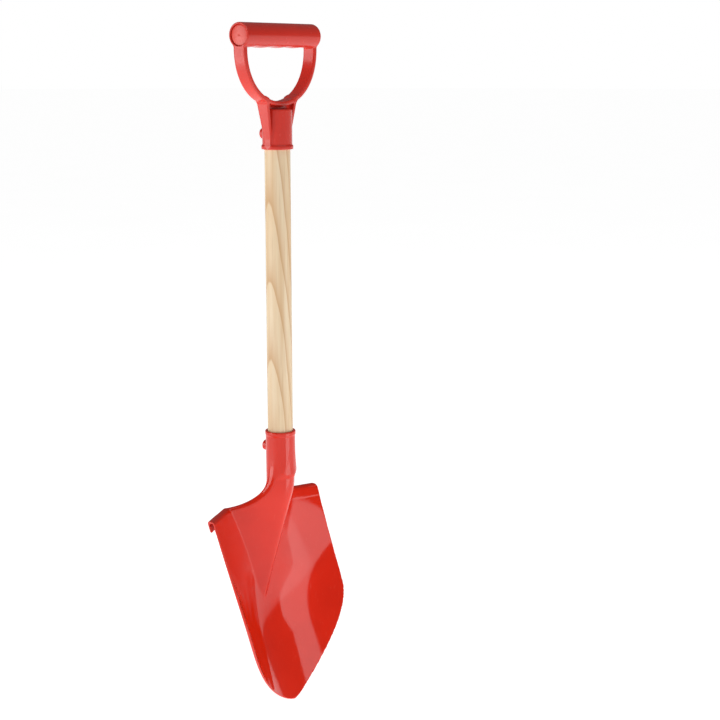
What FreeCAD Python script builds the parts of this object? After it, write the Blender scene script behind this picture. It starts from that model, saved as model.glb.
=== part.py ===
"""Child-size beach and digging shovel: wood dowel, moulded D-grip, moulded dished blade.

Frame, millimetres: origin on the shaft axis at the underside of the crossbar, where a
storage peg bears.  +Z up along the shaft, +X along the crossbar, +Y towards the back of
the blade, so the open dish faces -Y.  The blade hangs down to about z = -734.
"""
import FreeCAD, Part
import math
import os

V = FreeCAD.Vector

# ---- shaft
SHAFT_R = 14.0
SHAFT_TOP_Z = -68.5
SHAFT_CHAMFER = 1.5
FIT_GAP = 0.05

# ---- D-grip: crossbar, band, legs and socket
BAR_R = 13.3
BAR_HALF = 62.8
BAR_BORE_R = 10.2
BAR_LIP_ROUND = 0.8
GROOVE_X = (-42.0, -14.0, 14.0, 42.0)
GROOVE_DEPTH = 1.4
GROOVE_HALF_WIDTH = 12.5
BAND_OUT_A = 62.8
BAND_OUT_B = 60.2
BAND_IN_A = 57.2
BAND_IN_B = 55.4
BAND_POWER = 2.12
BAND_WIDTH = 15.0
LEG_TOP_X = 26.6
LEG_TOP_Z = -52.5
LEG_BOTTOM_X = 17.2
LEG_BOTTOM_Z = -96.0
LEG_THICK = 4.0
LEG_LOW_WIDTH = 9.0
WEB_THICK = 3.6
GRIP_SOCKET_R = 16.2
GRIP_SOCKET_TOP_Z = -63.6
GRIP_SOCKET_BOTTOM_Z = -106.2
GRIP_BEAD_R = 17.3
GRIP_BEAD_H = 4.4

# ---- press-in crossbar end plugs
PLUG_RECESS_R = 11.2
PLUG_RECESS_DEPTH = 3.6
PLUG_EDGE_SET_BACK = 1.6
PLUG_DOME = 1.1
PLUG_SPIGOT_LENGTH = 8.0
PLUG_SPIGOT_WALL = 1.8

# ---- blade socket
BLADE_RIM_Z = -417.9
TUBE_R = 16.5
BLADE_BEAD_R = 17.1
BLADE_BEAD_H = 4.8
BLADE_BORE_DEPTH = 60.0
TUBE_FLOOR = 3.0
TUBE_LENGTH = 78.0

# ---- blade sheet; h is the drop below the blade socket rim
WALL = 2.8
HALF_SPAN = 90.0
HALF_WIDTH = 89.8
TOP_FLARE = 4.3
TAPER_LENGTH = 110.0
TOP_H = 87.0
NOSE_H = 198.5
TIP_H = 316.4
NOSE_POWER = 1.67
NOSE_ROUND = 0.65
BACK_Y = 27.1
BEND_START_H = 175.0
BEND_END_H = 251.0
TIP_LEAN = 0.441
RAIL_TOP_Y = 20.5
RAIL_LEAN = 0.386
RAIL_BULGE = 1.5
TROUGH_POWER = 2.26
POCKET_DEPTH = 9.0
POCKET_END_H = 175.0

# ---- frog: the ridge that carries the socket into the dish
FROG_FRONT_Y = -16.5
FROG_START_H = 52.0
FROG_BLEND = 24.0
FROG_TIP_H = 207.8
FROG_SLOPE = 0.78
FROG_STEEPEN = 0.76
FROG_ROUND_TOP = 8.0
FROG_ROUND_TIP = 1.5

# ---- rolled foot tread along both shoulders
CREST_H = 87.5
CREST_RISE = 27.0
CREST_RUN = 13.0
CREST_START_X = 20.0
ROLL_RISE = 3.6
TREAD_DEPTH = 11.2
TREAD_THICK = 2.6
TREAD_CURL = 13.0
TREAD_DROP = 4.2
TREAD_X = (16.0, 21.0, 27.0, 35.0, 46.0, 60.0, 76.0, 92.0)

# ---- screws and their bosses at the back of both sockets
BOSS_R = 6.0
GRIP_BOSS_Z = -89.9
GRIP_BOSS_Y = 20.6
BLADE_BOSS_Z = BLADE_RIM_Z - 20.0
BLADE_BOSS_Y = 22.2
SCREW_HEAD_R = 3.7
SCREW_HEAD_H = 2.2
SCREW_POCKET_R = 4.0
SCREW_SHANK_R = 1.7
SCREW_LENGTH = 15.0
SCREW_POINT = 3.0
SCREW_SET_BACK = 0.4
CROSS_SLOT = 0.9


def cylinder(radius, start, axis, length):
    return Part.makeCylinder(radius, length, start, axis)


def block(x0, x1, y0, y1, z0, z1):
    return Part.makeBox(x1 - x0, y1 - y0, z1 - z0, V(x0, y0, z0))


def prism_y(points, y0, y1):
    """Extrude a closed polygon of (x, z) points from y0 to y1."""
    corners = [V(x, y0, z) for x, z in points]
    wire = Part.makePolygon(corners + corners[:1])
    return Part.Face(wire).extrude(V(0, y1 - y0, 0))


def superellipse_face(a, b, power):
    """Lower half of a superellipse in the XZ plane, carried 10 mm up into the crossbar."""
    count = 24
    points = []
    for i in range(count + 1):
        t = math.pi * i / count
        c = math.cos(t)
        x = -a * math.copysign(abs(c) ** (2.0 / power), c)
        points.append(V(x, 0, -b * math.sin(t) ** (2.0 / power)))
    curve = Part.BSplineCurve()
    curve.interpolate(points)
    rise = 10.0
    left = Part.makeLine(V(-a, 0, rise), points[0])
    right = Part.makeLine(points[-1], V(a, 0, rise))
    top = Part.makeLine(V(a, 0, rise), V(-a, 0, rise))
    return Part.Face(Part.Wire([left, curve.toShape(), right, top]))


def slab(face, width):
    """Thicken a face that lies in the XZ plane to a width centred on it."""
    solid = face.extrude(V(0, width, 0))
    solid.translate(V(0, -width / 2.0, 0))
    return solid


# ---------------------------------------------------------------- D-grip

def crossbar():
    bar = cylinder(BAR_R, V(-BAR_HALF, 0, BAR_R), V(1, 0, 0), 2 * BAR_HALF)
    rims = [e for e in bar.Edges if abs(abs(e.CenterOfMass.x) - BAR_HALF) < 0.01]
    bar = bar.makeFillet(BAR_LIP_ROUND, rims)
    radius = (GROOVE_HALF_WIDTH ** 2 + GROOVE_DEPTH ** 2) / (2 * GROOVE_DEPTH)
    for x in GROOVE_X:
        start = V(x, -2 * BAR_R, GROOVE_DEPTH - radius)
        bar = bar.cut(cylinder(radius, start, V(0, 1, 0), 4 * BAR_R))
    return bar


def crossbar_hollow():
    bore = cylinder(BAR_BORE_R, V(-BAR_HALF - 1, 0, BAR_R), V(1, 0, 0), 2 * BAR_HALF + 2)
    for side in (-1, 1):
        start = V(side * (BAR_HALF - PLUG_RECESS_DEPTH), 0, BAR_R)
        bore = bore.fuse(cylinder(PLUG_RECESS_R, start, V(side, 0, 0), PLUG_RECESS_DEPTH + 1))
    return bore


def grip_band():
    outer = slab(superellipse_face(BAND_OUT_A, BAND_OUT_B, BAND_POWER), BAND_WIDTH)
    inner = slab(superellipse_face(BAND_IN_A, BAND_IN_B, BAND_POWER), BAND_WIDTH + 2)
    return outer.cut(inner)


def grip_leg(side):
    """Strap from the band down the side of the socket, narrowing from front to back."""
    low = GRIP_SOCKET_BOTTOM_Z + GRIP_BEAD_H / 2
    points = [
        (side * LEG_TOP_X, LEG_TOP_Z),
        (side * LEG_BOTTOM_X, LEG_BOTTOM_Z),
        (side * LEG_BOTTOM_X, low),
        (side * (LEG_BOTTOM_X - LEG_THICK), low),
        (side * (LEG_BOTTOM_X - LEG_THICK), LEG_BOTTOM_Z),
        (side * (LEG_TOP_X - LEG_THICK - 1), LEG_TOP_Z - 2),
    ]
    strap = prism_y(points, -BAND_WIDTH, BAND_WIDTH)
    top = BAND_WIDTH / 2.0
    bottom = LEG_LOW_WIDTH / 2.0
    taper = Part.makePolygon([
        V(0, -top, LEG_TOP_Z + 5), V(0, top, LEG_TOP_Z + 5),
        V(0, bottom, LEG_BOTTOM_Z), V(0, bottom, low - 1),
        V(0, -bottom, low - 1), V(0, -bottom, LEG_BOTTOM_Z),
        V(0, -top, LEG_TOP_Z + 5)])
    envelope = Part.Face(taper).extrude(V(side * 2 * BAR_HALF, 0, 0))
    return strap.common(envelope)


def grip_web():
    points = [
        (-LEG_TOP_X + LEG_THICK / 2, LEG_TOP_Z - 1),
        (-LEG_BOTTOM_X + LEG_THICK / 2, LEG_BOTTOM_Z),
        (LEG_BOTTOM_X - LEG_THICK / 2, LEG_BOTTOM_Z),
        (LEG_TOP_X - LEG_THICK / 2, LEG_TOP_Z - 1),
        (0, -BAND_OUT_B + 2),
    ]
    return prism_y(points, -WEB_THICK / 2, WEB_THICK / 2)


def boss(z, back_y):
    return cylinder(BOSS_R, V(0, SHAFT_R / 2, z), V(0, 1, 0), back_y - SHAFT_R / 2)


def screw_clearance(z, back_y):
    """Head pocket and shank hole of one screw, cut from boss, socket and dowel."""
    floor = back_y - SCREW_SET_BACK - SCREW_HEAD_H
    pocket = cylinder(SCREW_POCKET_R, V(0, floor, z), V(0, 1, 0), 2 * SCREW_HEAD_H)
    reach = SCREW_LENGTH + 1
    hole_r = SCREW_SHANK_R + FIT_GAP
    return pocket.fuse(cylinder(hole_r, V(0, floor - reach, z), V(0, 1, 0), reach + 1))


def make_grip():
    length = GRIP_SOCKET_TOP_Z - GRIP_SOCKET_BOTTOM_Z
    foot = V(0, 0, GRIP_SOCKET_BOTTOM_Z)
    up = V(0, 0, 1)
    body = crossbar().fuse(grip_band())
    body = body.fuse([grip_leg(-1), grip_leg(1), grip_web()])
    body = body.fuse(cylinder(GRIP_SOCKET_R, foot, up, length))
    bead = cylinder(GRIP_BEAD_R, foot, up, GRIP_BEAD_H)
    body = body.fuse(bead.makeFillet(1.6, [bead.Edges[0], bead.Edges[2]]))
    body = body.fuse(boss(GRIP_BOSS_Z, GRIP_BOSS_Y)).removeSplitter()
    body = body.cut(crossbar_hollow())
    depth = SHAFT_TOP_Z - GRIP_SOCKET_BOTTOM_Z + FIT_GAP
    body = body.cut(cylinder(SHAFT_R + FIT_GAP, foot, up, depth))
    return body.cut(screw_clearance(GRIP_BOSS_Z, GRIP_BOSS_Y))


def make_end_plug(side):
    """Domed cap with a hollow spigot, pressed into one end of the crossbar."""
    axis = V(side, 0, 0)
    seat = V(side * (BAR_HALF - PLUG_RECESS_DEPTH), 0, BAR_R)
    disc_r = PLUG_RECESS_R - FIT_GAP
    disc_t = PLUG_RECESS_DEPTH - PLUG_EDGE_SET_BACK
    disc = cylinder(disc_r, seat, axis, disc_t)
    sphere_r = (disc_r ** 2 + PLUG_DOME ** 2) / (2 * PLUG_DOME)
    centre = seat + axis * (disc_t + PLUG_DOME - sphere_r)
    dome = Part.makeSphere(sphere_r, centre)
    dome = dome.common(cylinder(disc_r, seat, axis, disc_t + PLUG_DOME + 1))
    spigot_r = BAR_BORE_R - FIT_GAP
    spigot = cylinder(spigot_r, seat, axis * -1, PLUG_SPIGOT_LENGTH)
    hollow = cylinder(spigot_r - PLUG_SPIGOT_WALL, seat, axis * -1, PLUG_SPIGOT_LENGTH + 1)
    return disc.fuse(dome).fuse(spigot.cut(hollow)).removeSplitter()


# ---------------------------------------------------------------- shaft and screws

def make_shaft():
    foot = V(0, 0, BLADE_RIM_Z - BLADE_BORE_DEPTH + FIT_GAP)
    dowel = cylinder(SHAFT_R, foot, V(0, 0, 1), SHAFT_TOP_Z - foot.z)
    dowel = dowel.makeChamfer(SHAFT_CHAMFER, [dowel.Edges[0], dowel.Edges[2]])
    dowel = dowel.cut(screw_clearance(GRIP_BOSS_Z, GRIP_BOSS_Y))
    return dowel.cut(screw_clearance(BLADE_BOSS_Z, BLADE_BOSS_Y))


def screw(z, back_y):
    """Pan-head wood screw driven forwards through the boss into the dowel."""
    head_back = back_y - SCREW_SET_BACK
    seat = head_back - SCREW_HEAD_H
    head = cylinder(SCREW_HEAD_R, V(0, seat, z), V(0, 1, 0), SCREW_HEAD_H)
    rim = [e for e in head.Edges if e.CenterOfMass.y > seat + SCREW_HEAD_H - 0.01]
    head = head.makeFillet(1.0, rim)
    slot_y = head_back - 1.3
    for half_x, half_z in ((2.2, CROSS_SLOT / 2), (CROSS_SLOT / 2, 2.2)):
        slot = block(-half_x, half_x, slot_y, head_back + 1, z - half_z, z + half_z)
        head = head.cut(slot)
    straight = SCREW_LENGTH - SCREW_POINT
    shank = cylinder(SCREW_SHANK_R, V(0, seat + 0.5, z), V(0, -1, 0), straight + 0.5)
    tip_start = V(0, seat - straight, z)
    point = Part.makeCone(SCREW_SHANK_R, 0.2, SCREW_POINT, tip_start, V(0, -1, 0))
    return head.fuse([shank, point]).removeSplitter()


def make_socket_screws():
    upper = screw(GRIP_BOSS_Z, GRIP_BOSS_Y)
    lower = screw(BLADE_BOSS_Z, BLADE_BOSS_Y)
    return Part.makeCompound([upper, lower])


# ---------------------------------------------------------------- blade

def smooth_ramp(h, start, end):
    """Zero before start, slope one after end, with a parabola between."""
    if h <= start:
        return 0.0
    if h >= end:
        return h - (start + end) / 2.0
    return (h - start) ** 2 / (2.0 * (end - start))


def pocket(h):
    """Extra depth of the trough towards its top edge."""
    fade = min(max((POCKET_END_H - h) / (POCKET_END_H - TOP_H), 0.0), 1.0)
    return POCKET_DEPTH * fade ** 2


def centre_y(h):
    return BACK_Y - TIP_LEAN * smooth_ramp(h, BEND_START_H, BEND_END_H) + pocket(h)


def rail_y(h):
    s = (h - TOP_H) / TAPER_LENGTH
    return RAIL_TOP_Y - RAIL_LEAN * (h - TOP_H) + 4 * RAIL_BULGE * s * (1 - s)


def dish_y(x, h):
    """Front face of the trough: the rails lean forward of the centre line."""
    spread = (abs(x) / HALF_SPAN) ** TROUGH_POWER
    return centre_y(h) - (centre_y(h) - rail_y(h)) * spread


def frog_y(x, h):
    """Front face of the frog: a rounded roof that carries the socket into the dish."""
    run = FROG_TIP_H - FROG_START_H
    lean = (BACK_Y - FROG_FRONT_Y) / (run - FROG_BLEND / 2)
    ridge = FROG_FRONT_Y + lean * smooth_ramp(h, FROG_START_H, FROG_START_H + FROG_BLEND)
    s = min(max((h - FROG_START_H) / run, 0.0), 1.0)
    radius = FROG_ROUND_TOP + (FROG_ROUND_TIP - FROG_ROUND_TOP) * s
    slope = FROG_SLOPE * (1 + FROG_STEEPEN * pocket(h) / max(BACK_Y - ridge, 6.0))
    return ridge + slope * (math.hypot(x, radius) - radius)


def crest_h(x):
    """Drop of the top of the rolled tread below the socket rim."""
    return CREST_H - CREST_RISE * math.exp(-(abs(x) - CREST_START_X) / CREST_RUN)


def half_width(h):
    """Half width of the sheet: nearly straight flanks, then the pointed nose."""
    flank = HALF_WIDTH + TOP_FLARE * (1 - (h - TOP_H) / TAPER_LENGTH)
    if h <= NOSE_H:
        return flank
    s = (h - NOSE_H) / (TIP_H - NOSE_H)
    return flank * max(1 - s ** NOSE_POWER, 0.0) ** NOSE_ROUND


def behind(front, offset, half, h0, h1, depth):
    """Solid that fills everything behind a front face, set back by offset."""
    x_count, h_count, eps = 16, 18, 0.01
    rows = []
    for i in range(x_count + 1):
        s = -1.0 + 2.0 * i / x_count
        x = half * math.copysign(abs(s) ** 1.25, s)
        row = []
        for j in range(h_count + 1):
            h = h0 + (h1 - h0) * j / h_count
            slope_x = (front(x + eps, h) - front(x - eps, h)) / (2 * eps)
            slope_h = (front(x, h + eps) - front(x, h - eps)) / (2 * eps)
            stretch = math.sqrt(1 + slope_x ** 2 + slope_h ** 2)
            row.append(V(x, front(x, h) + offset * stretch, BLADE_RIM_Z - h))
        rows.append(row)
    surface = Part.BSplineSurface()
    surface.interpolate(rows)
    return surface.toShape().extrude(V(0, depth, 0))


def mirrored_spline(points, side):
    """Curve through (x, h) points of the right half, or their mirror image."""
    curve = Part.BSplineCurve()
    curve.interpolate([V(side * x, 0, BLADE_RIM_Z - h) for x, h in points])
    return curve.toShape()


def blade_outline():
    """Front view of the whole sheet: socket flanks, shoulders, sides and pointed nose."""
    neck_x = TUBE_R - 2.0
    corner_x = half_width(TOP_H) - 1.5
    shoulder = [(neck_x, FROG_START_H + 4)]
    shoulder += [(x, crest_h(x) + ROLL_RISE) for x in (19.0, 24.0, 32.0, 44.0, 60.0, 78.0, corner_x)]
    flank_top = shoulder[-1][1] + 1.6
    corner = [shoulder[-1], (half_width(flank_top), flank_top)]
    flank = [(half_width(h), h) for h in (flank_top, 125.0, 162.0, NOSE_H)]
    steps = 14
    nose = []
    for i in range(steps + 1):
        h = TIP_H - (TIP_H - NOSE_H) * (1 - i / steps) ** 2
        nose.append((half_width(h), h))
    edges = []
    for side in (1, -1):
        edges += [mirrored_spline(run, side) for run in (shoulder, corner, flank, nose)]
    neck_z = BLADE_RIM_Z - FROG_START_H - 4
    edges.append(Part.makeLine(V(-neck_x, 0, neck_z), V(neck_x, 0, neck_z)))
    face = Part.Face(Part.Wire(Part.__sortEdges__(edges)))
    reach = 80.0
    face.translate(V(0, -reach, 0))
    return face.extrude(V(0, 2 * reach, 0))


def front_y(x, h):
    return min(dish_y(x, h), frog_y(x, h))


def tread_section(x):
    """Hook-shaped wire at one station: up from the sheet, over, and down at the back."""
    h = crest_h(x)
    top = BLADE_RIM_Z - h
    y = front_y(x, h + ROLL_RISE) + 0.2
    foot = top - ROLL_RISE - 1.0
    back = y + TREAD_DEPTH
    t = TREAD_THICK
    p = [V(x, y, foot), V(x, y + 0.4 * TREAD_DEPTH, top), V(x, back - 0.8, top - TREAD_DROP),
         V(x, back, top - TREAD_CURL), V(x, back - t, top - TREAD_CURL),
         V(x, back - 0.8 - t, top - TREAD_DROP - 0.4), V(x, y + 0.4 * TREAD_DEPTH, top - t),
         V(x, y + t, foot)]
    return Part.Wire([
        Part.Arc(p[0], p[1], p[2]).toShape(),
        Part.makeLine(p[2], p[3]),
        Part.makeLine(p[3], p[4]),
        Part.makeLine(p[4], p[5]),
        Part.Arc(p[5], p[6], p[7]).toShape(),
        Part.makeLine(p[7], p[0])])


def tread(side):
    """Foot tread: the shoulder edge rolled backwards and down, open at its outer end."""
    roll = Part.makeLoft([tread_section(x) for x in TREAD_X], True, False)
    if side < 0:
        roll = roll.mirror(V(0, 0, 0), V(1, 0, 0))
    return roll


def make_blade():
    down = V(0, 0, -1)
    rim = V(0, 0, BLADE_RIM_Z)
    bottom = TIP_H + 8.0
    half = HALF_SPAN + 8.0
    frog_end = FROG_TIP_H + 30.0
    dish = behind(dish_y, 0.0, half, 50.0, bottom, 90.0)
    frog = behind(frog_y, 0.0, half, 50.0, frog_end, 90.0)
    dish_back = behind(dish_y, WALL, half + 4, 46.0, bottom + 4, 120.0)
    frog_back = behind(frog_y, WALL, half + 4, 46.0, frog_end + 4, 120.0)
    outside = dish.fuse(frog).common(blade_outline())
    sheet = outside.cut(dish_back).cut(frog_back)
    tube = cylinder(TUBE_R, rim, down, TUBE_LENGTH)
    hollow_start = rim + down * (BLADE_BORE_DEPTH + TUBE_FLOOR)
    tube = tube.cut(cylinder(TUBE_R - WALL, hollow_start, down, TUBE_LENGTH))
    body = sheet.fuse([tread(-1), tread(1)]).fuse(tube)
    bead = cylinder(BLADE_BEAD_R, rim, down, BLADE_BEAD_H)
    body = body.fuse(bead.makeFillet(0.6, [bead.Edges[0], bead.Edges[2]]))
    body = body.fuse(boss(BLADE_BOSS_Z, BLADE_BOSS_Y))
    body = body.cut(cylinder(SHAFT_R + FIT_GAP, rim, down, BLADE_BORE_DEPTH))
    return body.cut(screw_clearance(BLADE_BOSS_Z, BLADE_BOSS_Y))


def main():
    os.makedirs("parts", exist_ok=True)
    nodes = {
        "grip": make_grip(),
        "grip_end_plug_left": make_end_plug(-1),
        "grip_end_plug_right": make_end_plug(1),
        "shaft": make_shaft(),
        "socket_screws": make_socket_screws(),
        "blade": make_blade(),
    }
    for name, shape in nodes.items():
        box = shape.BoundBox
        print(name, "solids", len(shape.Solids), "valid", shape.isValid(),
              "volume %.0f" % shape.Volume,
              "x %.1f %.1f y %.1f %.1f z %.1f %.1f" % (
                  box.XMin, box.XMax, box.YMin, box.YMax, box.ZMin, box.ZMax))
        shape.exportStep("parts/%s.step" % name)


main()
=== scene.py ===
"""Child-size digging shovel: pine dowel, moulded D-grip and moulded dished blade.

The grip and the blade are moulded in one piece each, so every rib, bead and corner runs
into its neighbour with a fillet.  Both are written as a distance field in millimetres,
x along the crossbar, y towards the back of the blade, z up, and meshed in metres.
"""
import math

import bpy
import numpy as np
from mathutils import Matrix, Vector


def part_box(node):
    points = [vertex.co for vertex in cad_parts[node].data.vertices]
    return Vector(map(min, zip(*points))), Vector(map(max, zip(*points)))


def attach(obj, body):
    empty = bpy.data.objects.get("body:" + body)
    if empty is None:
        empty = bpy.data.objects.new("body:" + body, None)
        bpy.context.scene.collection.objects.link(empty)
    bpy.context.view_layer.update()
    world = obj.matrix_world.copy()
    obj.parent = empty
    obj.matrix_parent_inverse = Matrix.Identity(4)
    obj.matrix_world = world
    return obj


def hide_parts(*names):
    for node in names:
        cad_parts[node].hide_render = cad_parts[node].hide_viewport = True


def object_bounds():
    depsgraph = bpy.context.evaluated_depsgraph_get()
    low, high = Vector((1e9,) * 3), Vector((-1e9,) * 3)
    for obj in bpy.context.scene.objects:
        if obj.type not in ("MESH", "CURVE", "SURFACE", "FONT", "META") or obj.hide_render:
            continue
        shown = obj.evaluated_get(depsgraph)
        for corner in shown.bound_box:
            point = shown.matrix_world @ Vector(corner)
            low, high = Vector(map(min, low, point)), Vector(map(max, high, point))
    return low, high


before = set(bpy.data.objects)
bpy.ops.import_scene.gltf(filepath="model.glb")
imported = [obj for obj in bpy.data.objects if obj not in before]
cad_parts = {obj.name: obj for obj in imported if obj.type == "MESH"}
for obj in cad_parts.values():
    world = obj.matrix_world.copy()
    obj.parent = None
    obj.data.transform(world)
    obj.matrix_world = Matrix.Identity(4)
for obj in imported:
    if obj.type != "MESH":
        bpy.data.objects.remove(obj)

CAD_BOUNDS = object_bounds()
MM = 0.001


def box_in_mm(node):
    low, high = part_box(node)
    return low / MM, high / MM


GRIP_LOW, GRIP_HIGH = box_in_mm("grip")
BLADE_LOW, BLADE_HIGH = box_in_mm("blade")
SHAFT_R = box_in_mm("shaft")[1].x

# ---- D-grip
BAR_HALF = GRIP_HIGH.x
BAR_R = GRIP_HIGH.z / 2
BORE_R = 10.2
RECESS_R = 11.2
RECESS_DEPTH = 3.6
WAVE_PITCH = 28.0
WAVE_DEPTH = 1.4
WAVE_EDGE = 2.5
BAR_EDGE = 2.2
BAR_FILLET = 2.0
BAND_OUT = (62.8, 60.2)
BAND_IN = (57.2, 55.4)
BAND_POWER = 2.12
BAND_HALF = 7.5
BAND_EDGE = 2.4
BAND_TOP_EDGE = 1.0
LEG_TOP = (26.6, -52.5)
LEG_FOOT = (17.2, -96.0)
LEG_THICK = 4.0
LEG_FOOT_HALF = 4.5
LEG_OVERLAP = 4.0
LEG_EDGE = 1.2
LEG_END_EDGE = 1.5
LEG_FILLET = 3.0
WEB_HALF = 1.8
WEB_FILLET = 1.2
GRIP_SOCKET_R = 16.2
GRIP_SOCKET_TOP = -63.6
GRIP_SOCKET_FOOT = GRIP_LOW.z
GRIP_BEAD_R = 17.3
GRIP_BEAD_H = 4.4
GRIP_SOCKET_EDGE = 1.5
GRIP_SOCKET_FILLET = 1.0
GRIP_BEAD_EDGE = 1.8
GRIP_BEAD_FILLET = 1.2
GRIP_BORE_TOP = -68.4
GRIP_BOSS_Z = -89.9
GRIP_BOSS_Y = GRIP_HIGH.y

# ---- blade; h is the drop below the rim of its socket
RIM_Z = BLADE_HIGH.z
TIP_H = RIM_Z - BLADE_LOW.z
TUBE_R = 16.5
TUBE_LENGTH = 78.0
BLADE_BEAD_R = 17.1
BLADE_BEAD_H = 4.8
BLADE_BEAD_EDGE = 1.6
BLADE_BEAD_FILLET = 0.8
TUBE_EDGE = 1.2
TUBE_PROUD = 4.0
TUBE_FADE = 14.0
BORE_DEPTH = 60.0
BORE_FLOOR = 3.0
WALL = 2.8
SHEET_EDGE = 1.6
HALF_SPAN = 90.0
HALF_WIDTH = 89.8
TOP_FLARE = 4.3
TAPER_LENGTH = 110.0
TOP_H = 87.0
NOSE_H = 198.5
NOSE_POWER = 1.67
NOSE_ROUND = 0.65
BACK_Y = 27.1
BEND_H = (175.0, 251.0)
TIP_LEAN = 0.441
RAIL_TOP_Y = 20.5
RAIL_LEAN = 0.386
RAIL_BULGE = 1.5
TROUGH_POWER = 2.26
POCKET_DEPTH = 9.0
POCKET_H = (87.0, 175.0)
FROG_FRONT_Y = -TUBE_R
FROG_START_H = 52.0
FROG_BLEND = 24.0
FROG_TIP_H = 207.8
FROG_SLOPE = 0.78
FROG_STEEPEN = 0.76
FROG_CREASE = 2.5
FROG_LEAST_REACH = 6.0
FROG_ROUND = (8.0, 1.5)
CREST_H = 87.5
CREST_RISE = 27.0
CREST_RUN = 13.0
CREST_START_X = 20.0
CREST_INNER_X = 15.0
TREAD_DEPTH = 11.2
TREAD_THICK = 2.6
TREAD_CURL = 13.0
TREAD_ROUND = 4.2
TREAD_LIP_EDGE = 1.4
TREAD_FILLET = 1.5
NECK_FILLET = 14.0
BLADE_BOSS_Z = RIM_Z - 20.0
BLADE_BOSS_Y = 22.2
BLADE_MARGIN = Vector((0.0, 6.0, 0.0))

# ---- screw bosses
BOSS_R = 6.0
BOSS_EDGE = 2.4
BOSS_FILLET = 2.0
SCREW_POCKET_R = 4.0
SCREW_POCKET_DEPTH = 2.6

# ---- bores for the dowel
BORE_PLAY = 0.05
BORE_FLOOR_ROUND = 0.5
BORE_LIP = 0.9
PAST_RIM = 50.0

# ---- end plugs
PLUG_PLAY = 0.05
PLUG_BORE_R = 8.4
PLUG_SPIGOT_R = 10.15
PLUG_SPIGOT_LENGTH = 8.0
PLUG_THICK = 2.0
PLUG_CROWN = 1.1
PLUG_DOME_RINGS = 14


# ---------------------------------------------------------------- distance fields

def smooth_min(a, b, blend):
    """Union of two fields with a fillet about as wide as blend."""
    near = np.maximum(blend - np.abs(a - b), 0.0) / blend
    return np.minimum(a, b) - near ** 3 * blend / 6


def smooth_max(a, b, blend):
    """Intersection of two fields with a rounded edge."""
    return -smooth_min(-a, -b, blend)


def slab(value, low, high):
    return np.maximum(low - value, value - high)


def drum(radius, height, low, high, edge):
    """Cylinder in (distance from axis - radius, height) terms, with rounded rims."""
    return smooth_max(radius, slab(height, low, high), edge)


def screw_boss(x, y, z, boss_z, boss_y):
    """Round boss at the back of a socket."""
    return drum(np.hypot(x, z - boss_z) - BOSS_R, y, SHAFT_R / 2, boss_y, BOSS_EDGE)


def screw_pocket(x, y, z, boss_z, boss_y):
    return np.maximum(np.hypot(x, z - boss_z) - SCREW_POCKET_R, boss_y - SCREW_POCKET_DEPTH - y)


def superellipse(side, drop, half_width, height):
    """Distance to the D outline: a superellipse below the crossbar axis, straight above."""
    u = side / half_width
    v = np.maximum(drop, 0.0) / height
    slope_u = BAND_POWER * u ** (BAND_POWER - 1) / half_width
    slope_v = BAND_POWER * v ** (BAND_POWER - 1) / height
    return (u ** BAND_POWER + v ** BAND_POWER - 1) / np.hypot(slope_u, slope_v).clip(1e-3)


def crossbar_field(x, y, z):
    """Round bar with four shallow finger waves underneath."""
    bar = drum(np.hypot(y, z - BAR_R) - BAR_R, x, -BAR_HALF, BAR_HALF, BAR_EDGE)
    in_reach = np.abs(x) < 2 * WAVE_PITCH
    wave = np.where(in_reach, 0.5 - 0.5 * np.cos(2 * np.pi * x / WAVE_PITCH), 0.0)
    return smooth_max(bar, WAVE_DEPTH * wave - z, WAVE_EDGE)


def grip_leg_field(side, y, z):
    """Strap that runs from the band down the side of the socket."""
    rise = np.clip((z - LEG_FOOT[1]) / (LEG_TOP[1] - LEG_FOOT[1]), 0.0, 1.3)
    outer = LEG_FOOT[0] + (LEG_TOP[0] - LEG_FOOT[0]) * rise
    half = LEG_FOOT_HALF + (BAND_HALF - LEG_FOOT_HALF) * np.minimum(rise, 1.0)
    strap = smooth_max(slab(side, outer - LEG_THICK, outer), np.abs(y) - half, LEG_EDGE)
    foot = GRIP_SOCKET_FOOT + GRIP_BEAD_H / 2
    strap = smooth_max(strap, slab(z, foot, LEG_TOP[1] + LEG_OVERLAP), LEG_END_EDGE)
    web = np.maximum(np.abs(y) - WEB_HALF, side - outer + LEG_THICK / 2)
    web = np.maximum(web, slab(z, LEG_FOOT[1], LEG_TOP[1] - 1))
    return strap, web


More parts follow.
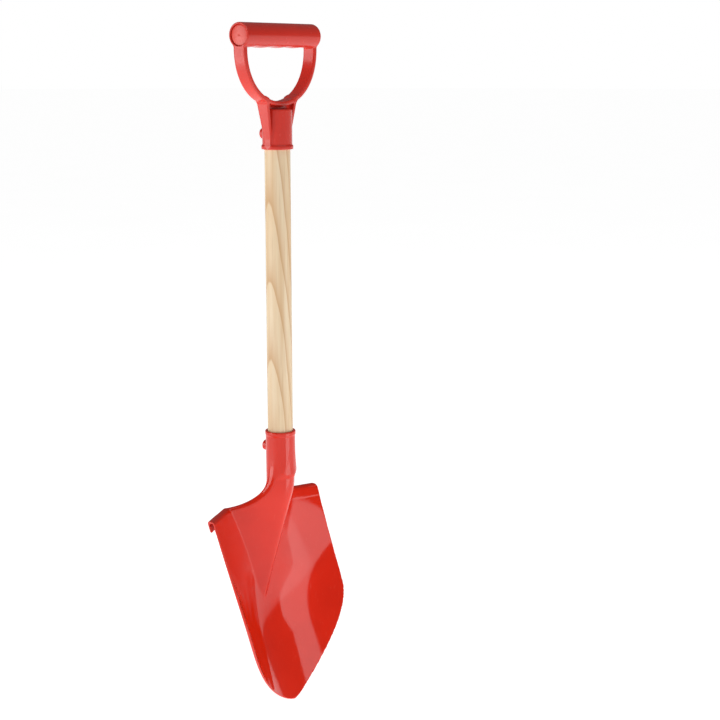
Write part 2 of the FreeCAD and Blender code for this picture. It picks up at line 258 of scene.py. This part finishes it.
def grip_field(x, y, z):
    side = np.abs(x)
    outer = superellipse(side, -z, *BAND_OUT)
    inner = superellipse(side, -z, *BAND_IN)
    band = smooth_max(np.maximum(outer, -inner), np.abs(y) - BAND_HALF, BAND_EDGE)
    band = smooth_max(band, z - BAR_R, BAND_TOP_EDGE)
    strap, web = grip_leg_field(side, y, z)
    strap = np.maximum(strap, -inner)
    web = np.maximum(web, -inner)
    radius = np.hypot(x, y)
    rims = (GRIP_SOCKET_FOOT, GRIP_SOCKET_TOP)
    socket = drum(radius - GRIP_SOCKET_R, z, *rims, GRIP_SOCKET_EDGE)
    bead_top = GRIP_SOCKET_FOOT + GRIP_BEAD_H
    bead = drum(radius - GRIP_BEAD_R, z, GRIP_SOCKET_FOOT, bead_top, GRIP_BEAD_EDGE)
    solid = smooth_min(crossbar_field(x, y, z), band, BAR_FILLET)
    solid = smooth_min(solid, smooth_min(strap, web, WEB_FILLET), LEG_FILLET)
    solid = smooth_min(solid, socket, GRIP_SOCKET_FILLET)
    solid = smooth_min(solid, bead, GRIP_BEAD_FILLET)
    boss = screw_boss(x, y, z, GRIP_BOSS_Z, GRIP_BOSS_Y)
    solid = smooth_min(solid, boss, BOSS_FILLET)
    bar_radius = np.hypot(y, z - BAR_R)
    recess = np.maximum(bar_radius - RECESS_R, BAR_HALF - RECESS_DEPTH - side)
    bore = np.minimum(bar_radius - BORE_R, recess)
    ends = (GRIP_SOCKET_FOOT - PAST_RIM, GRIP_BORE_TOP)
    shaft_bore = drum(radius - SHAFT_R - BORE_PLAY, z, *ends, BORE_FLOOR_ROUND)
    bore = np.minimum(bore, shaft_bore)
    bore = np.minimum(bore, screw_pocket(x, y, z, GRIP_BOSS_Z, GRIP_BOSS_Y))
    return smooth_max(solid, -bore, BORE_LIP)


def smooth_ramp(h, start, end):
    """Zero before start, slope one after end, with a parabola between."""
    t = np.clip((h - start) / (end - start), 0.0, 1.0)
    return t * t * (end - start) / 2 + np.maximum(h - end, 0.0)


def front_y(side, h):
    """Front face of the blade: a trough with the frog's rounded roof standing in it."""
    fade = np.clip((POCKET_H[1] - h) / (POCKET_H[1] - POCKET_H[0]), 0.0, 1.0)
    pocket = POCKET_DEPTH * fade ** 2
    centre = BACK_Y - TIP_LEAN * smooth_ramp(h, *BEND_H) + pocket
    s = (h - TOP_H) / TAPER_LENGTH
    rail = RAIL_TOP_Y - RAIL_LEAN * (h - TOP_H) + 4 * RAIL_BULGE * s * (1 - s)
    dish = centre - (centre - rail) * (side / HALF_SPAN) ** TROUGH_POWER
    run = FROG_TIP_H - FROG_START_H
    lean = (BACK_Y - FROG_FRONT_Y) / (run - FROG_BLEND / 2)
    ridge = FROG_FRONT_Y + lean * smooth_ramp(h, FROG_START_H, FROG_START_H + FROG_BLEND)
    t = np.clip((h - FROG_START_H) / run, 0.0, 1.0)
    radius = FROG_ROUND[0] + (FROG_ROUND[1] - FROG_ROUND[0]) * t
    steep = FROG_SLOPE * (1 + FROG_STEEPEN * pocket / (BACK_Y - ridge).clip(FROG_LEAST_REACH))
    frog = ridge + steep * (np.hypot(side, radius) - radius)
    return smooth_min(dish, frog, FROG_CREASE)


def front_face(side, h):
    """Front face and how much longer a step along it is than one in x or z."""
    step = 0.05
    slope_x = (front_y(side + step, h) - front_y(np.abs(side - step), h)) / (2 * step)
    slope_h = (front_y(side, h + step) - front_y(side, h - step)) / (2 * step)
    return front_y(side, h), np.sqrt(1 + slope_x ** 2 + slope_h ** 2)


def outline_field(side, h):
    """Distance to the edge of the sheet: nearly straight flanks and a pointed nose."""
    flank = HALF_WIDTH + TOP_FLARE * (1 - (h - TOP_H) / TAPER_LENGTH)
    power = 1 / NOSE_ROUND
    u = side / flank
    s = np.maximum((h - NOSE_H) / (TIP_H - NOSE_H), 0.0)
    slope_x = power * u ** (power - 1) / flank
    slope_h = NOSE_POWER * s ** (NOSE_POWER - 1) / (TIP_H - NOSE_H)
    slope_h = slope_h + power * u ** power * TOP_FLARE / TAPER_LENGTH / flank
    return (u ** power + s ** NOSE_POWER - 1) / np.hypot(slope_x, slope_h).clip(1e-3)


def below_crest(side, h):
    """Distance below the top line of the tread, which sweeps up to the neck."""
    outward = np.maximum(side, CREST_INNER_X) - CREST_START_X
    lift = CREST_RISE * np.exp(-outward / CREST_RUN)
    return (h - CREST_H + lift) / np.hypot(1.0, lift / CREST_RUN)


def tread_field(side, depth, stretch, drop):
    """Top edge of the sheet rolled backwards and down, open underneath."""
    reach = TREAD_DEPTH / stretch
    across = np.abs(depth - reach / 2) - reach / 2 + TREAD_ROUND
    above = TREAD_ROUND - drop
    corner = np.hypot(np.maximum(across, 0.0), np.maximum(above, 0.0))
    outer = corner + np.minimum(np.maximum(across, above), 0.0) - TREAD_ROUND
    lip = np.maximum(outer, -outer - TREAD_THICK)
    lip = smooth_max(lip, drop - TREAD_CURL, TREAD_LIP_EDGE)
    return np.maximum(lip, SHAFT_R - side)


def blade_field(x, y, z):
    h = RIM_Z - z
    side = np.abs(x)
    front, stretch = front_face(side, h)
    depth = (y - front) / stretch
    drop = below_crest(side, h)
    sheet = smooth_max(slab(depth, 0.0, WALL), TREAD_ROUND - drop, 1.0)
    tread = tread_field(side, depth, stretch, drop)
    sheet = smooth_min(sheet, tread, TREAD_FILLET)
    sheet = smooth_max(sheet, outline_field(side, h), SHEET_EDGE)

    radius = np.hypot(x, y)
    tube = drum(radius - TUBE_R, h, 0.0, TUBE_LENGTH, TUBE_EDGE)
    bead = drum(radius - BLADE_BEAD_R, h, 0.0, BLADE_BEAD_H, BLADE_BEAD_EDGE)
    tube = smooth_min(tube, bead, BLADE_BEAD_FILLET)
    hollow = np.maximum(radius - SHAFT_R, BORE_DEPTH + BORE_FLOOR - h)
    tube = np.maximum(tube, -hollow)
    fade = np.clip((FROG_START_H + 2 - h) / TUBE_FADE, 0.0, 1.0)
    in_front = -depth - TUBE_PROUD * fade
    body = smooth_min(sheet, smooth_max(tube, in_front, 1.0), NECK_FILLET)
    body = smooth_max(body, in_front, 1.0)
    boss = screw_boss(x, y, z, BLADE_BOSS_Z, BLADE_BOSS_Y)
    body = smooth_min(body, boss, BOSS_FILLET)
    ends = (-PAST_RIM, BORE_DEPTH)
    bore = drum(radius - SHAFT_R - BORE_PLAY, h, *ends, BORE_FLOOR_ROUND)
    bore = np.minimum(bore, screw_pocket(x, y, z, BLADE_BOSS_Z, BLADE_BOSS_Y))
    return smooth_max(body, -bore, BORE_LIP)


# ---------------------------------------------------------------- meshing

GRIP_STEP = 0.8
BLADE_STEP = 1.1


def slope(field, points):
    """Gradient of a field at points, by central differences."""
    step = 0.02
    parts = []
    for axis in range(3):
        shift = np.zeros(3)
        shift[axis] = step
        ahead = field(*(points + shift).T)
        parts.append((ahead - field(*(points - shift).T)) / (2 * step))
    return np.stack(parts, axis=1)


def surface_net(field, low, high, step):
    """Quads on the zero surface of a field: one point in each grid cell that it crosses."""
    axes = [np.arange(a - 2 * step, b + 3 * step, step) for a, b in zip(low, high)]
    values = field(*np.meshgrid(*axes, indexing="ij", sparse=True))
    inside = values < 0
    cells = tuple(n - 1 for n in values.shape)
    total = np.zeros((3, math.prod(cells)))
    count = np.zeros(math.prod(cells))
    quads = []
    for axis in range(3):
        span = values.shape[axis]
        here = [slice(None)] * 3
        here[axis] = slice(0, span - 1)
        there = [slice(None)] * 3
        there[axis] = slice(1, span)
        crossing = np.argwhere(inside[tuple(here)] != inside[tuple(there)])
        a = values[tuple(here)][tuple(crossing.T)]
        b = values[tuple(there)][tuple(crossing.T)]
        place = crossing.astype(float)
        place[:, axis] += a / (a - b)
        corners = []
        for du, dv in ((0, 0), (1, 0), (1, 1), (0, 1)):
            cell = crossing.copy()
            cell[:, (axis + 1) % 3] -= du
            cell[:, (axis + 2) % 3] -= dv
            flat = np.ravel_multi_index(cell.T, cells)
            corners.append(flat)
            count += np.bincount(flat, minlength=count.size)
            for k in range(3):
                total[k] += np.bincount(flat, place[:, k], minlength=count.size)
        ring = np.stack(corners, axis=1)
        ring[a > 0] = ring[a > 0][:, ::-1]
        quads.append(ring)
    used, quads = np.unique(np.concatenate(quads), return_inverse=True)
    origin = np.array([axis[0] for axis in axes])
    points = origin + (total[:, used] / count[used]).T * step
    return points, quads.reshape(-1, 4)


def moulded_piece(name, field, low, high, step):
    """Mesh of a field, its points drawn onto the exact surface and its normals taken from it."""
    points, quads = surface_net(field, low, high, step)
    for _ in range(5):
        gradient = slope(field, points)
        size = (gradient ** 2).sum(axis=1).clip(0.1)
        move = gradient * (field(*points.T) / size)[:, None]
        points = points - np.clip(move, -step / 2, step / 2)
    normals = slope(field, points)
    normals /= np.linalg.norm(normals, axis=1)[:, None].clip(1e-6)
    mesh = bpy.data.meshes.new(name)
    mesh.from_pydata((points * MM).tolist(), [], quads.tolist())
    mesh.shade_smooth()
    mesh.normals_split_custom_set_from_vertices(normals.tolist())
    piece = bpy.data.objects.new(name, mesh)
    bpy.context.scene.collection.objects.link(piece)
    return piece


def lathe(name, profile, place, side, steps=72):
    """Solid of revolution about x: profile is (radius, distance out from place) from the axis."""
    points = []
    for radius, out in profile:
        for i in range(steps):
            angle = 2 * math.pi * i / steps
            y = radius * math.cos(angle)
            z = radius * math.sin(angle)
            points.append((place + Vector((side * out, side * y, z))) * MM)
    faces = []
    for ring in range(len(profile) - 1):
        for i in range(steps):
            j = (i + 1) % steps
            a = ring * steps
            b = a + steps
            faces.append((a + i, a + j, b + j, b + i))
    last = (len(profile) - 1) * steps
    faces.append(tuple(range(steps))[::-1])
    faces.append(tuple(last + i for i in range(steps)))
    mesh = bpy.data.meshes.new(name)
    mesh.from_pydata(points, [], faces)
    mesh.shade_smooth()
    piece = bpy.data.objects.new(name, mesh)
    bpy.context.scene.collection.objects.link(piece)
    return piece


def end_plug(name, side):
    """Domed press-in cap with a rounded rim and the small dimple left by its moulding gate."""
    rim = RECESS_R - PLUG_PLAY
    dome = []
    for i in range(PLUG_DOME_RINGS):
        r = rim - 0.9 - (rim - 2.0) * i / (PLUG_DOME_RINGS - 1)
        dome.append((r, PLUG_THICK + PLUG_CROWN * (1 - (r / rim) ** 2)))
    profile = [(PLUG_BORE_R, -PLUG_SPIGOT_LENGTH), (PLUG_SPIGOT_R, -PLUG_SPIGOT_LENGTH)]
    profile += [(PLUG_SPIGOT_R, 0.0), (rim, 0.0), (rim, PLUG_THICK - 0.7)]
    profile += [(rim - 0.15, PLUG_THICK - 0.3), (rim - 0.5, PLUG_THICK - 0.05)]
    profile += dome
    profile += [(0.9, PLUG_THICK + 0.85), (0.3, PLUG_THICK + 0.8)]
    return lathe(name, profile, Vector((side * (BAR_HALF - RECESS_DEPTH), 0, BAR_R)), side)


# ---------------------------------------------------------------- materials

class Graph:
    """Nodes of one material, around its Principled shader."""

    def __init__(self, name):
        self.material = bpy.data.materials.new(name)
        self.material.use_nodes = True
        self.tree = self.material.node_tree
        self.shader = self.tree.nodes["Principled BSDF"]
        self.place = self.add("ShaderNodeTexCoord").outputs["Object"]

    def add(self, kind, **settings):
        node = self.tree.nodes.new(kind)
        for key, value in settings.items():
            setattr(node, key, value)
        return node

    def feed(self, socket, value):
        if isinstance(value, bpy.types.NodeSocket):
            self.tree.links.new(value, socket)
        else:
            socket.default_value = value

    def stretched(self, scale):
        node = self.add("ShaderNodeMapping")
        self.feed(node.inputs["Vector"], self.place)
        node.inputs["Scale"].default_value = scale
        return node.outputs["Vector"]

    def noise(self, scale, detail=3.0, stretch=(1.0, 1.0, 1.0), distortion=0.0):
        node = self.add("ShaderNodeTexNoise")
        self.feed(node.inputs["Vector"], self.stretched(stretch))
        node.inputs["Scale"].default_value = scale
        node.inputs["Detail"].default_value = detail
        node.inputs["Distortion"].default_value = distortion
        return node.outputs["Fac"]

    def math(self, operation, *values):
        node = self.add("ShaderNodeMath", operation=operation)
        for socket, value in zip(node.inputs, values):
            self.feed(socket, value)
        return node.outputs[0]

    def spread(self, value, low, high, out_low=0.0, out_high=1.0):
        """Map low..high to out_low..out_high, clamped."""
        node = self.add("ShaderNodeMapRange")
        sockets = ("Value", "From Min", "From Max", "To Min", "To Max")
        for socket, setting in zip(sockets, (value, low, high, out_low, out_high)):
            self.feed(node.inputs[socket], setting)
        return node.outputs["Result"]

    def mix(self, amount, first, second):
        node = self.add("ShaderNodeMix", data_type="RGBA")
        self.feed(node.inputs[0], amount)
        self.feed(node.inputs[6], first)
        self.feed(node.inputs[7], second)
        return node.outputs[2]

    def bump(self, height, strength, distance, normal=None):
        node = self.add("ShaderNodeBump")
        node.inputs["Strength"].default_value = strength
        node.inputs["Distance"].default_value = distance
        self.feed(node.inputs["Height"], height)
        if normal is not None:
            self.feed(node.inputs["Normal"], normal)
        return node.outputs["Normal"]

    def set(self, **values):
        for key, value in values.items():
            self.feed(self.shader.inputs[key.replace("_", " ")], value)


def worn_edges(graph):
    """One on convex edges that have been rubbed, broken up by noise."""
    edge = graph.add("ShaderNodeNewGeometry").outputs["Pointiness"]
    edge = graph.spread(edge, 0.53, 0.60)
    return graph.math("MULTIPLY", edge, graph.spread(graph.noise(90.0), 0.35, 0.65))


def moulded_plastic(name, deep, bright, worn, gloss, ripple):
    """Glossy moulded plastic: slow colour drift, hairline scuffs, rubbed edges, flow ripple."""
    graph = Graph(name)
    drift = graph.spread(graph.noise(11.0, 4.0), 0.35, 0.65)
    colour = graph.mix(drift, (*deep, 1.0), (*bright, 1.0))
    scuff = graph.noise(60.0, 6.0, stretch=(9.0, 9.0, 1.0), distortion=0.6)
    scuff = graph.spread(scuff, 0.62, 0.72)
    faint = graph.math("MULTIPLY", scuff, 0.10)
    colour = graph.mix(faint, colour, (*worn, 1.0))
    colour = graph.mix(graph.math("MULTIPLY", worn_edges(graph), 0.35), colour, (*worn, 1.0))
    haze = graph.spread(graph.noise(38.0, 5.0), 0.3, 0.7, gloss, gloss + 0.05)
    rough = graph.math("ADD", haze, graph.math("MULTIPLY", scuff, 0.08))
    flow = graph.bump(graph.noise(24.0, 1.0), ripple, 0.002)
    peel = graph.bump(graph.noise(420.0, 2.0), 0.05, 0.0002, flow)
    graph.set(Base_Color=colour, Roughness=rough, Normal=peel, IOR=1.46)
    return graph.material


def pine(name):
    """Flat-sawn pine: growth rings lean across the dowel and show as long pointed arches."""
    graph = Graph(name)
    face = (-0.996, 0.089)
    ring_pitch = 0.0105
    lean = -0.125
    part = graph.add("ShaderNodeSeparateXYZ")
    graph.feed(part.inputs["Vector"], graph.place)
    across = graph.math("MULTIPLY", part.outputs["X"], face[0] / ring_pitch)
    depth = graph.math("MULTIPLY", part.outputs["Y"], face[1] / ring_pitch)
    along = graph.math("MULTIPLY", part.outputs["Z"], lean / ring_pitch)
    phase = graph.math("ADD", graph.math("ADD", across, depth), along)
    wander = graph.math("MULTIPLY", graph.noise(9.0, 2.0, stretch=(1.0, 1.0, 0.6)), 1.1)
    waver = graph.math("MULTIPLY", graph.noise(120.0, 3.0, stretch=(1.0, 1.0, 0.06)), 0.12)
    phase = graph.math("ADD", phase, graph.math("ADD", wander, waver))
    ring = graph.math("FRACT", phase)
    late = graph.math("POWER", ring, 3.4)
    late = graph.math("MULTIPLY", late, graph.spread(ring, 1.0, 0.96))
    fibre = graph.noise(900.0, 4.0, stretch=(1.0, 1.0, 0.025))
    figure = graph.noise(160.0, 3.0, stretch=(1.0, 1.0, 0.05))
    cream = (0.88, 0.71, 0.49, 1.0)
    honey = (0.80, 0.58, 0.35, 1.0)
    late_wood = (0.60, 0.33, 0.14, 1.0)
    early_wood = graph.mix(graph.spread(figure, 0.35, 0.65), cream, honey)
    colour = graph.mix(graph.math("MULTIPLY", late, 0.85), early_wood, late_wood)
    streak = graph.spread(fibre, 0.56, 0.75, 0.0, 0.28)
    colour = graph.mix(streak, colour, (0.50, 0.30, 0.15, 1.0))
    rough = graph.spread(fibre, 0.3, 0.7, 0.40, 0.58)
    relief = graph.bump(fibre, 0.25, 0.0003)
    relief = graph.bump(late, 0.15, 0.0002, relief)
    graph.set(Base_Color=colour, Roughness=rough, Normal=relief, IOR=1.45)
    return graph.material


def zinc(name):
    """Zinc-plated steel with a faint brushed grain and dulled patches."""
    graph = Graph(name)
    grain = graph.noise(2200.0, 3.0, stretch=(1.0, 1.0, 0.2))
    patch = graph.spread(graph.noise(500.0, 3.0), 0.4, 0.65)
    colour = graph.mix(patch, (0.62, 0.62, 0.60, 1.0), (0.45, 0.44, 0.42, 1.0))
    rough = graph.spread(grain, 0.3, 0.7, 0.22, 0.42)
    brushed = graph.bump(grain, 0.1, 0.0001)
    graph.set(Base_Color=colour, Roughness=rough, Metallic=1.0, Normal=brushed)
    return graph.material


def floor_paint(name):
    graph = Graph(name)
    tone = graph.spread(graph.noise(3.0, 2.0), 0.3, 0.7)
    colour = graph.mix(tone, (0.93, 0.93, 0.93, 1.0), (0.90, 0.90, 0.90, 1.0))
    graph.set(Base_Color=colour, Roughness=0.9)
    graph.set(Emission_Color=(1.0, 1.0, 1.0, 1.0), Emission_Strength=FLOOR_GLOW)
    return graph.material


# ---------------------------------------------------------------- pieces

def finish_piece(piece, material, node):
    piece.data.materials.append(material)
    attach(piece, "root")
    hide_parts(node)


def build_pieces():
    red_grip = moulded_plastic(
        "red_grip", deep=(0.62, 0.026, 0.014), bright=(0.70, 0.032, 0.018),
        worn=(0.80, 0.13, 0.09), gloss=0.20, ripple=0.01)
    # The end caps are the same red plastic as the grip, but their colours here are lighter and
    # pinker: a painted highlight standing in for the shine on the caps.
    plug_red_painted_highlight = moulded_plastic(
        "plug_red_painted_highlight", deep=(0.72, 0.055, 0.036), bright=(0.80, 0.10, 0.07),
        worn=(0.86, 0.22, 0.16), gloss=0.24, ripple=0.02)
    red_blade = moulded_plastic(
        "red_blade", deep=(0.68, 0.017, 0.003), bright=(0.78, 0.022, 0.005),
        worn=(0.86, 0.14, 0.08), gloss=0.055, ripple=0.006)
    grip = moulded_piece("moulded_grip", grip_field, GRIP_LOW, GRIP_HIGH, GRIP_STEP)
    finish_piece(grip, red_grip, "grip")
    for word, side in (("left", -1), ("right", 1)):
        plug = end_plug("moulded_plug_" + word, side)
        finish_piece(plug, plug_red_painted_highlight, "grip_end_plug_" + word)
    blade_high = BLADE_HIGH + BLADE_MARGIN
    blade = moulded_piece("moulded_blade", blade_field, BLADE_LOW, blade_high, BLADE_STEP)
    finish_piece(blade, red_blade, "blade")
    for node, material in (("shaft", pine("pine")), ("socket_screws", zinc("zinc"))):
        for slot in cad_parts[node].material_slots:
            slot.material = material


# ---------------------------------------------------------------- studio

CAMERA_PLACE = (-1.2871, -1.0068, -0.0132)
CAMERA_TILT = 78.734
CAMERA_TURN = -55.094
CAMERA_LENS = 75.0
CAMERA_SENSOR = 36.0
FLOOR_RADIUS = 40.0
FLOOR_SIDES = 96
FLOOR_GAP = 0.0005
FLOOR_GLOW = 0.84
BACKDROP_BRIGHTNESS = 1.0
AMBIENT_BRIGHTNESS = 0.16


def softbox(name, place, target, width, height, brightness):
    """Rectangular lamp; brightness is what its face would show."""
    data = bpy.data.lights.new(name, "AREA")
    data.shape = "RECTANGLE"
    data.size = width
    data.size_y = height
    data.energy = brightness * math.pi * width * height
    lamp = bpy.data.objects.new(name, data)
    lamp.visible_camera = False
    lamp.location = place
    aim = Vector(target) - Vector(place)
    lamp.rotation_euler = aim.to_track_quat("-Z", "Y").to_euler()
    bpy.context.scene.collection.objects.link(lamp)


def build_camera():
    data = bpy.data.cameras.new("camera")
    data.lens = CAMERA_LENS
    data.sensor_width = CAMERA_SENSOR
    camera = bpy.data.objects.new("camera", data)
    bpy.context.scene.collection.objects.link(camera)
    camera.location = CAMERA_PLACE
    camera.rotation_euler = (math.radians(CAMERA_TILT), 0.0, math.radians(CAMERA_TURN))
    bpy.context.scene.camera = camera


def build_floor():
    """Round pale floor under the point of the blade."""
    height = CAD_BOUNDS[0][2] - FLOOR_GAP
    ring = []
    for i in range(FLOOR_SIDES):
        angle = 2 * math.pi * i / FLOOR_SIDES
        ring.append((FLOOR_RADIUS * math.cos(angle), FLOOR_RADIUS * math.sin(angle), height))
    mesh = bpy.data.meshes.new("floor")
    mesh.from_pydata(ring, [], [tuple(range(FLOOR_SIDES))])
    mesh.materials.append(floor_paint("floor_paint"))
    floor = bpy.data.objects.new("floor", mesh)
    bpy.context.scene.collection.objects.link(floor)


def build_world():
    world = bpy.data.worlds.new("studio")
    bpy.context.scene.world = world
    world.use_nodes = True
    nodes = world.node_tree.nodes
    links = world.node_tree.links
    dim = nodes["Background"]
    dim.inputs["Color"].default_value = (1.0, 1.0, 1.0, 1.0)
    dim.inputs["Strength"].default_value = AMBIENT_BRIGHTNESS
    backdrop = nodes.new("ShaderNodeBackground")
    backdrop.inputs["Color"].default_value = (1.0, 1.0, 1.0, 1.0)
    backdrop.inputs["Strength"].default_value = BACKDROP_BRIGHTNESS
    rays = nodes.new("ShaderNodeLightPath")
    choose = nodes.new("ShaderNodeMixShader")
    links.new(rays.outputs["Is Camera Ray"], choose.inputs["Fac"])
    links.new(dim.outputs["Background"], choose.inputs[1])
    links.new(backdrop.outputs["Background"], choose.inputs[2])
    links.new(choose.outputs["Shader"], nodes["World Output"].inputs["Surface"])


def build_lamps():
    softbox("strip_softbox", (0.40, -1.18, -0.545), (1.254, -0.66, -0.545),
            width=1.84, height=0.37, brightness=2.3)
    softbox("left_softbox", (-1.5, 1.05, -0.1), (0, 0, -0.2),
            width=0.9, height=1.5, brightness=3.4)
    softbox("top_softbox", (0.0, -0.6, 1.5), (0, 0, -0.7),
            width=2.0, height=2.0, brightness=0.9)


build_pieces()
build_floor()
build_world()
build_camera()
build_lamps()
bpy.context.scene.view_settings.view_transform = "Standard"
